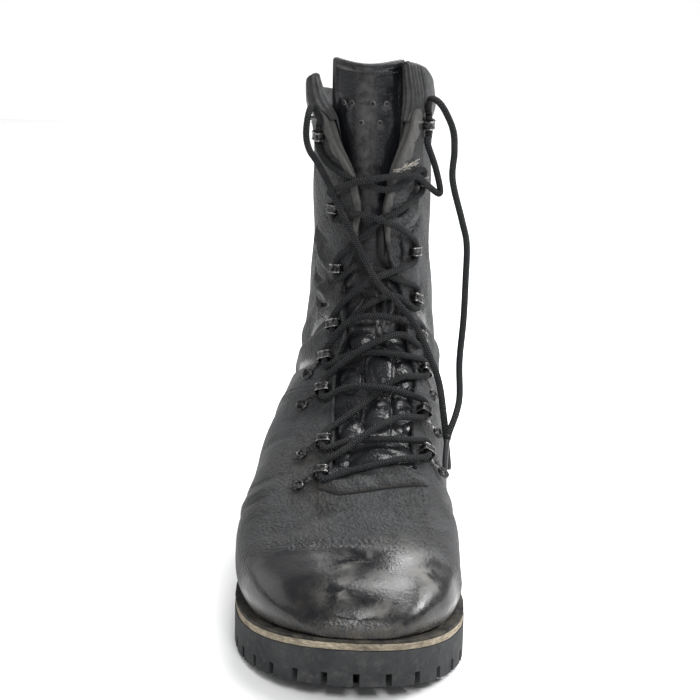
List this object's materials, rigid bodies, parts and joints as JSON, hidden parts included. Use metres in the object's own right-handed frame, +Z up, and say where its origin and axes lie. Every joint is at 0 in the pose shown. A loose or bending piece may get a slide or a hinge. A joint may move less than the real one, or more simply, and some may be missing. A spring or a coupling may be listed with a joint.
{
  "type": "combat boot",
  "caption": "Worn black leather lace-up combat boot with a padded collar, bridge eyelets, a stitched welt and a lugged rubber sole with a separate heel.",
  "frame": {"origin": "on the ground under the middle of the outsole's length and width", "axes": "+Z up, the toe points along -Y, +X is the inner (medial) side of this right boot"},
  "size_m": [0.1185, 0.3106, 0.2821],
  "materials": {
    "rubber": "matt, dusty",
    "sole_leather": "raw, frayed",
    "black_leather": "worn grain, polished at the toe",
    "gunmetal": "dark plated with bright worn edges",
    "lace": "round braided cord"
  },
  "bodies": {
    "root": {"outsole": "rubber", "heel": "rubber", "midsole": "sole_leather", "insole": "sole_leather", "welt": "black_leather", "upper": "black_leather", "tongue": "black_leather", "lace_crossings": "lace", "lace_end_lateral": "lace", "lace_end_medial": "lace", "eyelet_lateral_1": "gunmetal", "eyelet_lateral_2": "gunmetal", "eyelet_lateral_3": "gunmetal", "eyelet_lateral_4": "gunmetal", "eyelet_lateral_5": "gunmetal", "eyelet_lateral_6": "gunmetal", "eyelet_lateral_7": "gunmetal", "eyelet_lateral_8": "gunmetal", "eyelet_medial_1": "gunmetal", "eyelet_medial_2": "gunmetal", "eyelet_medial_3": "gunmetal", "eyelet_medial_4": "gunmetal", "eyelet_medial_5": "gunmetal", "eyelet_medial_6": "gunmetal", "eyelet_medial_7": "gunmetal", "eyelet_medial_8": "gunmetal"}
  },
  "joints": []
}
